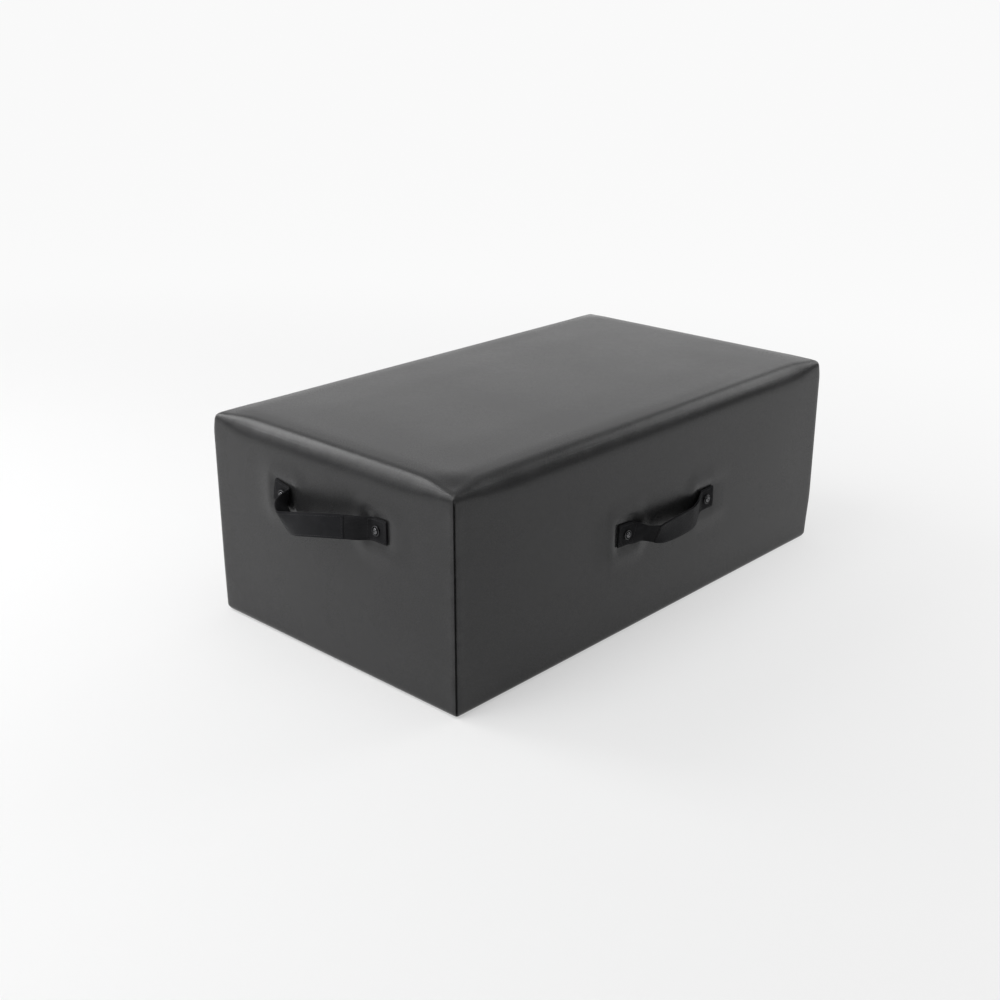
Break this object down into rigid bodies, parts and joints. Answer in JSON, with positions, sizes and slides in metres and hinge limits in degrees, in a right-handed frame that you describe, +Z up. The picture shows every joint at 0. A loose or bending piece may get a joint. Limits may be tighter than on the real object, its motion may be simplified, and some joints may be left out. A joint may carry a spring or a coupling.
{
  "type": "pilates sitting box",
  "caption": "Upholstered rectangular exercise box with a padded top, taut dark grey vinyl cover and a webbing carry handle on each side.",
  "frame": {"origin": "on the floor, under the middle of the box", "axes": "+X along the long sides, +Y from the front long side to the back one, +Z up"},
  "size_m": [0.835, 0.4902, 0.2815],
  "materials": {
    "vinyl": "dark grey smooth vinyl, semi-gloss",
    "foam": "open-cell foam, matte",
    "plywood": "raw plywood",
    "pine": "raw softwood",
    "base_cloth": "black non-slip cloth, matte",
    "webbing": "black woven webbing",
    "label": "charcoal sewn strip, left bare",
    "black_steel": "black plated steel",
    "zinc": "zinc plated steel"
  },
  "bodies": {
    "box": {"vinyl_cover": "vinyl", "top_foam_pad": "foam", "base_cloth": "base_cloth", "front_foam_pad": "foam", "back_foam_pad": "foam", "left_foam_pad": "foam", "right_foam_pad": "foam", "front_board": "plywood", "back_board": "plywood", "left_board": "plywood", "right_board": "plywood", "lid_board": "plywood", "floor_board": "plywood", "middle_rib": "plywood", "front_left_corner_block": "pine", "back_left_corner_block": "pine", "front_right_corner_block": "pine", "back_right_corner_block": "pine", "front_handle_strap_left": "webbing", "front_handle_washer_left": "black_steel", "front_handle_screw_left": "black_steel", "front_handle_tee_nut_left": "zinc", "front_handle_strap_right": "webbing", "front_handle_washer_right": "black_steel", "front_handle_screw_right": "black_steel", "front_handle_tee_nut_right": "zinc", "back_handle_strap_left": "webbing", "back_handle_washer_left": "black_steel", "back_handle_screw_left": "black_steel", "back_handle_tee_nut_left": "zinc", "back_handle_strap_right": "webbing", "back_handle_washer_right": "black_steel", "back_handle_screw_right": "black_steel", "back_handle_tee_nut_right": "zinc", "left_handle_strap_left": "webbing", "left_handle_washer_left": "black_steel", "left_handle_screw_left": "black_steel", "left_handle_tee_nut_left": "zinc", "left_handle_strap_right": "webbing", "left_handle_washer_right": "black_steel", "left_handle_screw_right": "black_steel", "left_handle_tee_nut_right": "zinc", "right_handle_strap_left": "webbing", "right_handle_washer_left": "black_steel", "right_handle_screw_left": "black_steel", "right_handle_tee_nut_left": "zinc", "right_handle_strap_right": "webbing", "right_handle_washer_right": "black_steel", "right_handle_screw_right": "black_steel", "right_handle_tee_nut_right": "zinc"},
    "front_grip": {"front_handle_grip": "webbing", "front_handle_label": "label"},
    "back_grip": {"back_handle_grip": "webbing", "back_handle_label": "label"},
    "left_grip": {"left_handle_grip": "webbing", "left_handle_label": "label"},
    "right_grip": {"right_handle_grip": "webbing", "right_handle_label": "label"}
  },
  "joints": [
    {"name": "front_handle_swing", "type": "hinge", "parent": "box", "child": "front_grip", "pos_m": [0.01, -0.21905, 0.1395], "axis": [-1, 0, 0], "range_deg": [-25, 45], "deforming": ["front_handle_strap_left", "front_handle_strap_right"]},
    {"name": "back_handle_swing", "type": "hinge", "parent": "box", "child": "back_grip", "pos_m": [-0.01, 0.21905, 0.1395], "axis": [1, 0, 0], "range_deg": [-25, 45], "deforming": ["back_handle_strap_left", "back_handle_strap_right"]},
    {"name": "left_handle_swing", "type": "hinge", "parent": "box", "child": "left_grip", "pos_m": [-0.3778, -0.0045, 0.2005], "axis": [0, 1, 0], "range_deg": [-30, 50], "deforming": ["left_handle_strap_left", "left_handle_strap_right"]},
    {"name": "right_handle_swing", "type": "hinge", "parent": "box", "child": "right_grip", "pos_m": [0.3778, 0.0045, 0.2005], "axis": [0, -1, 0], "range_deg": [-30, 50], "deforming": ["right_handle_strap_left", "right_handle_strap_right"]}
  ]
}
